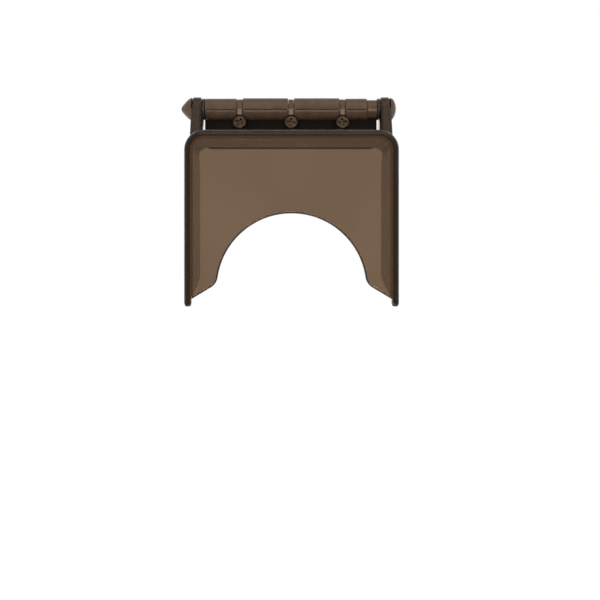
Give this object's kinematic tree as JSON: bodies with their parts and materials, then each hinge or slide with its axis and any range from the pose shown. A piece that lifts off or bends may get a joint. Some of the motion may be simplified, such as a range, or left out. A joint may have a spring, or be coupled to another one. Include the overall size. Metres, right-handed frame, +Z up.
{
  "type": "hinged polycarbonate protective cover",
  "caption": "Smoked see-through hinged cover with deep sides and an arched lower edge, hanging from a pin hinge on a screwed mounting plate to shield a lock keypad.",
  "frame": {"origin": "on the back face of the mounting plate, on the axis of the middle screw", "axes": "+Y out of the back face into the lock, +X along the hinge towards the dome cap, +Z up; the front panel faces -Y"},
  "size_m": [0.0947, 0.0416, 0.0918],
  "materials": {
    "smoked_polycarbonate": "see-through, polished",
    "smoked_hinge_plastic": "smoked, glossy",
    "pin_steel": "drawn",
    "bronzed_steel": "bronze plated, satin",
    "dark_nylon": "matt",
    "black_plastic": "fine satin"
  },
  "bodies": {
    "bracket": {"mounting_plate": "black_plastic", "eye_left": "smoked_hinge_plastic", "eye_centre": "smoked_hinge_plastic", "eye_right": "smoked_hinge_plastic", "screw_left": "bronzed_steel", "screw_centre": "bronzed_steel", "screw_right": "bronzed_steel", "sleeve_outer_left": "smoked_hinge_plastic", "sleeve_inner_left": "smoked_hinge_plastic", "sleeve_inner_right": "smoked_hinge_plastic", "sleeve_outer_right": "smoked_hinge_plastic", "spacer_bush": "smoked_hinge_plastic"},
    "cover": {"cover_shell": "smoked_polycarbonate", "hinge_pin": "pin_steel", "bullet_cap": "smoked_hinge_plastic", "dome_cap": "smoked_hinge_plastic", "washer_left": "dark_nylon", "washer_right": "dark_nylon"}
  },
  "joints": [
    {"name": "cover_hinge", "type": "hinge", "parent": "bracket", "child": "cover", "pos_m": [0, -0.0083, 0.0066], "axis": [-1, 0, 0], "range_deg": [0, 135]}
  ]
}
